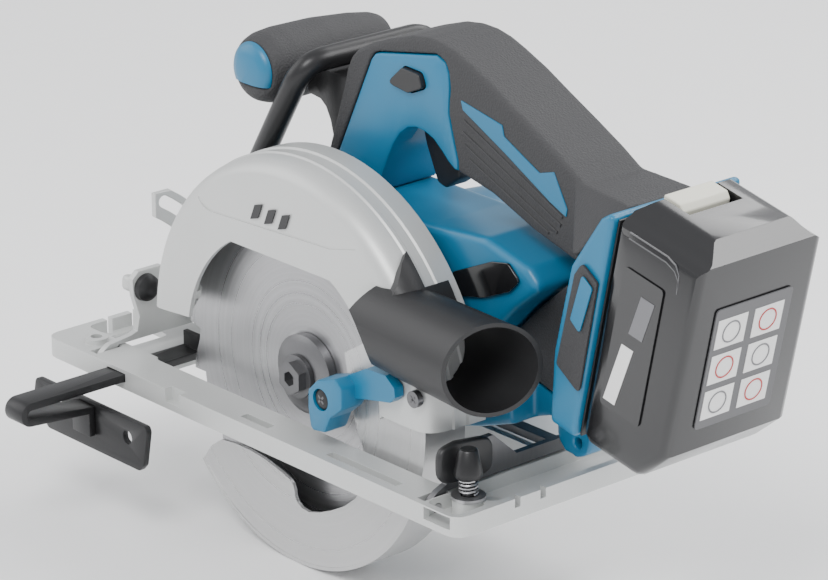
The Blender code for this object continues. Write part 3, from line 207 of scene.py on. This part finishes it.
DARK_STEEL = surface("dark_steel", (0.16, 0.16, 0.165), 0.36, 0.8, 0.12, 60, 0.08, 900, 0.1, (1, 10, 1))
WHITE_PRINT = surface("white_print", (0.80, 0.80, 0.79), 0.45, 0.0, 0.04, 90, 0.06, 900, 0.02)
RED_PRINT = surface("red_print", (0.45, 0.02, 0.02), 0.45, 0.0, 0.08, 90, 0.06, 900, 0.02)
GREY_PRINT = surface("grey_print", (0.16, 0.16, 0.17), 0.45, 0.0, 0.10, 90, 0.06, 900, 0.02)
OWN_FINISH = {"saw_blade": BLADE_STEEL, "bevel_bracket_rear": DARK_STEEL, "depth_guide": DARK_STEEL,
              "bevel_rail": DARK_STEEL, "battery_label": FINISHES["gloss_black"], "outer_flange": DARK_STEEL,
              "blade_bolt": DARK_STEEL, "lever_screw": FINISHES["black_metal"],
              "nozzle_screw": DARK_STEEL, "lower_guard": CASE_MACHINED}


# ---------------------------------------------------------------- pieces

def add_piece(name, mesh, finish, rides_on):
    made = bpy.data.objects.new(name, mesh)
    bpy.context.scene.collection.objects.link(made)
    mesh.materials.append(finish)
    mesh.shade_smooth()
    mesh.set_sharp_from_angle(angle=SHARP_ANGLE)
    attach(made, rides_on)
    return made


def bevelled(made, width, segments=2, angle=40):
    edge = made.modifiers.new("edge", "BEVEL")
    edge.width = width * MM
    edge.segments = segments
    edge.limit_method = "ANGLE"
    edge.angle_limit = math.radians(angle)
    edge.use_clamp_overlap = True
    return made


def skin(name, bevel=0.0, voxel=0.0, rounds=6):
    """A smooth copy of a CAD node that stands for it: with softened edges, or remeshed as one moulding."""
    source = frame["nodes"][name]
    work = bmesh.new()
    work.from_mesh(source.data)
    bmesh.ops.remove_doubles(work, verts=work.verts, dist=1e-6)
    bmesh.ops.dissolve_limit(work, angle_limit=math.radians(0.5), verts=work.verts, edges=work.edges)
    work.verts.index_update()
    mesh = bpy.data.meshes.new(f"{name}_skin")
    mesh.from_pydata([v.co[:] for v in work.verts], [], [[v.index for v in f.verts] for f in work.faces])
    work.free()
    finish = OWN_FINISH.get(name, FINISHES[SLOTS[name]])
    made = add_piece(f"{name}_skin", mesh, finish, body_of(source)[0])
    if voxel:
        remesh = made.modifiers.new("remesh", "REMESH")
        remesh.mode = "VOXEL"
        remesh.voxel_size = voxel * MM
        remesh.use_smooth_shade = True
        smooth = made.modifiers.new("smooth", "SMOOTH")
        smooth.factor = 0.5
        smooth.iterations = rounds
    elif bevel:
        bevelled(made, bevel)
    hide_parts(name)


def prism(name, outline, depth, finish, rides_on, edge=0.15):
    """A flat piece: an outline of 3-D points, carried along a vector."""
    work = bmesh.new()
    lower = [work.verts.new(Vector(p)) for p in outline]
    upper = [work.verts.new(Vector(p) + Vector(depth)) for p in outline]
    count = len(outline)
    work.faces.new(lower)
    work.faces.new(upper[::-1])
    for i in range(count):
        j = (i + 1) % count
        work.faces.new((lower[j], lower[i], upper[i], upper[j]))
    bmesh.ops.recalc_face_normals(work, faces=work.faces)
    mesh = bpy.data.meshes.new(name)
    work.to_mesh(mesh)
    work.free()
    made = add_piece(name, mesh, finish, rides_on)
    if edge:
        bevelled(made, edge)
    return made


def xz(points, y):
    return [(x * MM, y, z * MM) for x, z in points]


def strip(start, end, width):
    """The four corners of a straight strip between two x, z points."""
    across = Vector((end[1] - start[1], start[0] - end[0])).normalized() * width / 2
    return [(start[0] + across.x, start[1] + across.y), (end[0] + across.x, end[1] + across.y),
            (end[0] - across.x, end[1] - across.y), (start[0] - across.x, start[1] - across.y)]


def leaning(v, u):
    """World x, z in millimetres of a point v behind and u above the battery's origin."""
    x = BATTERY_ORIGIN[0] / MM + v * math.cos(BATTERY_LEAN) + u * math.sin(BATTERY_LEAN)
    z = BATTERY_ORIGIN[1] / MM + u * math.cos(BATTERY_LEAN) - v * math.sin(BATTERY_LEAN)
    return (x, z)


def body(name):
    return body_of(frame["nodes"][name])[0]


# ---------------------------------------------------------------- details

ACCENT = ((59.5, 153.7), (60.7, 149.9), (85.5, 138), (112.7, 123.9), (122.2, 119.9), (122.8, 123.3),
          (114.8, 136.9), (106.5, 134.4), (85.5, 144.5), (84.3, 149.1))
RIBS = (((60.7, 145.4), (120.0, 118.9)), ((60.1, 140.3), (119.0, 115.3)), ((61.3, 134.9), (117.0, 111.8)),
        ((64.4, 129.4), (112.0, 110.3)))
# Path of two battery grooves, drawn as flat strips of painted groove shading rather than cut.
BATTERY_GROOVE = ((7, 48), (28, 48), (33, 46.5), (35.5, 43.5), (36, 38))


def handle_details():
    for side in (-1, 1):
        label = "left" if side < 0 else "right"
        y = side * (GRIP_SIDE - 0.4 * MM)
        prism(f"grip_accent_{label}", xz(ACCENT, y), (0, side * 0.9 * MM, 0), FINISHES["blue_plastic"],
              body("handle_grip"), 0.25)
        for number, (start, end) in enumerate(RIBS):
            prism(f"grip_rib_{label}_{number}", xz(strip(start, end, 1.5), y), (0, side * 0.9 * MM, 0),
                  FINISHES["rubber"], body("handle_grip"), 0.3)


def battery_details():
    case = body("battery_case")
    # painted shading of the grooves: flat strips in the label finish, nothing is cut
    for offset in (0.0, 2.6):
        path = [leaning(v, u - offset) for v, u in BATTERY_GROOVE]
        for number in range(len(path) - 1):
            prism(f"battery_groove_{offset:.0f}_{number}", xz(strip(path[number], path[number + 1], 0.5),
                  BATTERY_LEFT + 0.3 * MM), (0, -0.45 * MM, 0), FINISHES["label"], case, 0)
    side = BATTERY_LEFT - 0.8 * MM
    stripe = [leaning(v, u) for v, u in ((9.5, -25), (16, -25), (20.5, 2), (14, 2))]
    proud = (0, -0.3 * MM, 0)
    prism("battery_stripe", xz(stripe, side), proud, WHITE_PRINT, body("battery_label"), 0)
    mark = [leaning(v, u) for v, u in ((16.5, 8), (24, 8), (27, 26), (19.5, 26))]
    prism("battery_mark", xz(mark, side), proud, GREY_PRINT, body("battery_label"), 0)
    rear = body("battery_rear_label")
    for column in range(2):
        for row in range(3):
            low, wide = -20 + 16 * row, -22.5 + 20 * column
            a, b = leaning(BATTERY_BACK, low), leaning(BATTERY_BACK, low + 13)
            y0, y1 = wide * MM, (wide + 16) * MM
            tile = [(a[0] * MM, y0, a[1] * MM), (a[0] * MM, y1, a[1] * MM), (b[0] * MM, y1, b[1] * MM),
                    (b[0] * MM, y0, b[1] * MM)]
            out = (0.25 * MM * math.cos(BATTERY_LEAN), 0, -0.25 * MM * math.sin(BATTERY_LEAN))
            prism(f"label_tile_{column}_{row}", tile, out, WHITE_PRINT, rear, 0)
            centre = leaning(BATTERY_BACK + 0.35, low + 6.5)
            spot = (centre[0] * MM, (wide + 8) * MM, centre[1] * MM)
            print_colour = RED_PRINT if (column + row) % 2 else GREY_PRINT
            ring(f"label_ring_{column}_{row}", spot, 4.6 * MM, 0.35 * MM, print_colour, rear)


def ring(name, centre, radius, thick, finish, rides_on, steps=32, sides=8):
    """A thin ring that lies in the plane of the battery's rear face."""
    work = bmesh.new()
    up = Vector((math.sin(BATTERY_LEAN), 0, math.cos(BATTERY_LEAN)))
    out = Vector((math.cos(BATTERY_LEAN), 0, -math.sin(BATTERY_LEAN)))
    loops = []
    for step in range(steps):
        turn = 2 * math.pi * step / steps
        away = Vector((0, math.cos(turn), 0)) + up * math.sin(turn)
        loop = []
        for side in range(sides):
            around = 2 * math.pi * side / sides
            spot = Vector(centre) + away * (radius + thick * math.cos(around))
            spot = spot + out * thick * 0.5 * math.sin(around)
            loop.append(work.verts.new(spot))
        loops.append(loop)
    for step in range(steps):
        here, there = loops[step], loops[(step + 1) % steps]
        for side in range(sides):
            after = (side + 1) % sides
            work.faces.new((here[side], here[after], there[after], there[side]))
    bmesh.ops.recalc_face_normals(work, faces=work.faces)
    mesh = bpy.data.meshes.new(name)
    work.to_mesh(mesh)
    work.free()
    return add_piece(name, mesh, finish, rides_on)


def painted_cross_shade(name, node, reach=1.9, width=0.8):
    """A dark cross of painted shade on the outer face of a screw that points to the left: it stands in for
    the shaded recess.
    """
    low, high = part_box(node)
    x, z, y = (low[0] + high[0]) / 2 / MM, (low[2] + high[2]) / 2 / MM, low[1]
    for number, (dx, dz) in enumerate(((0.7, 0.7), (0.7, -0.7))):
        ends = ((x - dx * reach, z - dz * reach), (x + dx * reach, z + dz * reach))
        bar = xz(strip(*ends, width), y + 0.2 * MM)
        # painted shade: a flat cross in the label finish stands for the shade inside the screw's recess,
        # which is not cut
        prism(f"{name}_{number}", bar, (0, -0.35 * MM, 0), FINISHES["label"], body(node), 0)


def case_mark():
    """A plain mark of three slanted bars on the case."""
    y = BLADE_Y - 14.4 * MM
    for number in range(3):
        x = -22 + 9 * number
        bar = ((x, 92), (x + 5, 93.5), (x + 8, 100.5), (x + 3, 99))
        prism(f"case_mark_{number}", xz(bar, y), (0, -0.4 * MM, 0), FINISHES["black_plastic"],
              body("upper_guard"), 0)


# Painted shade of the motor cap's vent slots: flat gloss black strips stand for the shade inside the slots.
def painted_vent_shade():
    low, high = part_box("motor_cap")
    x, z = (low[0] + high[0]) / 2 / MM, (low[2] + high[2]) / 2 / MM
    for number in range(16):
        turn = 2 * math.pi * number / 16
        ends = [(x + r * math.cos(turn), z + r * math.sin(turn)) for r in (11, 23)]
        prism(f"motor_vent_{number}", xz(strip(*ends, 2.2), high[1] - 0.3 * MM), (0, 0.5 * MM, 0),
              FINISHES["gloss_black"], body("motor_cap"), 0.2)


# Voxel size in millimetres and rounds of smoothing, for mouldings with no flat faces.
REMESHED = {"main_housing": (0.9, 10), "handle_grip": (0.8, 6), "front_grip": (0.7, 8),
            "battery_holder": (0.8, 4)}
# Bevel width in millimetres for each node with softened edges.
BEVELLED = {
    "handle_panel": 0.4, "battery_case": 0.5, "guard_lever": 0.5, "trigger": 0.5, "lower_housing": 1.2,
    "depth_clamp_lever": 0.5, "bevel_clamp_lever": 0.5, "release_button": 0.5, "lock_off_button": 0.4,
    "gear_housing": 0.6, "bevel_bracket_front": 0.4, "bevel_bracket_rear": 0.4, "depth_guide": 0.3,
    "bevel_rail": 0.4, "depth_lug": 0.3, "fence_bar": 0.25, "fence_plate": 0.25, "indicator_panel": 0.2,
    "holder_pad_left": 0.3, "holder_pad_right": 0.3, "holder_inlay_left": 0.2,
    "holder_inlay_right": 0.2, "pivot_arm": 0.4, "base_plate": 0.3, "bevel_quadrant": 0.3,
    "thumb_screw": 0.2, "rear_clamp_knob": 0.3,
}

for node_name in sorted(frame["nodes"]):
    voxel_size, passes = REMESHED.get(node_name, (0.0, 0))
    skin(node_name, BEVELLED.get(node_name, 0.0), voxel_size, passes)
handle_details()
battery_details()
case_mark()
painted_vent_shade()
# painted shade for the cross recesses of the two screws
painted_cross_shade("lever_cross_shade", "lever_screw", 2.2, 0.9)
painted_cross_shade("nozzle_cross_shade", "nozzle_screw")
studio()
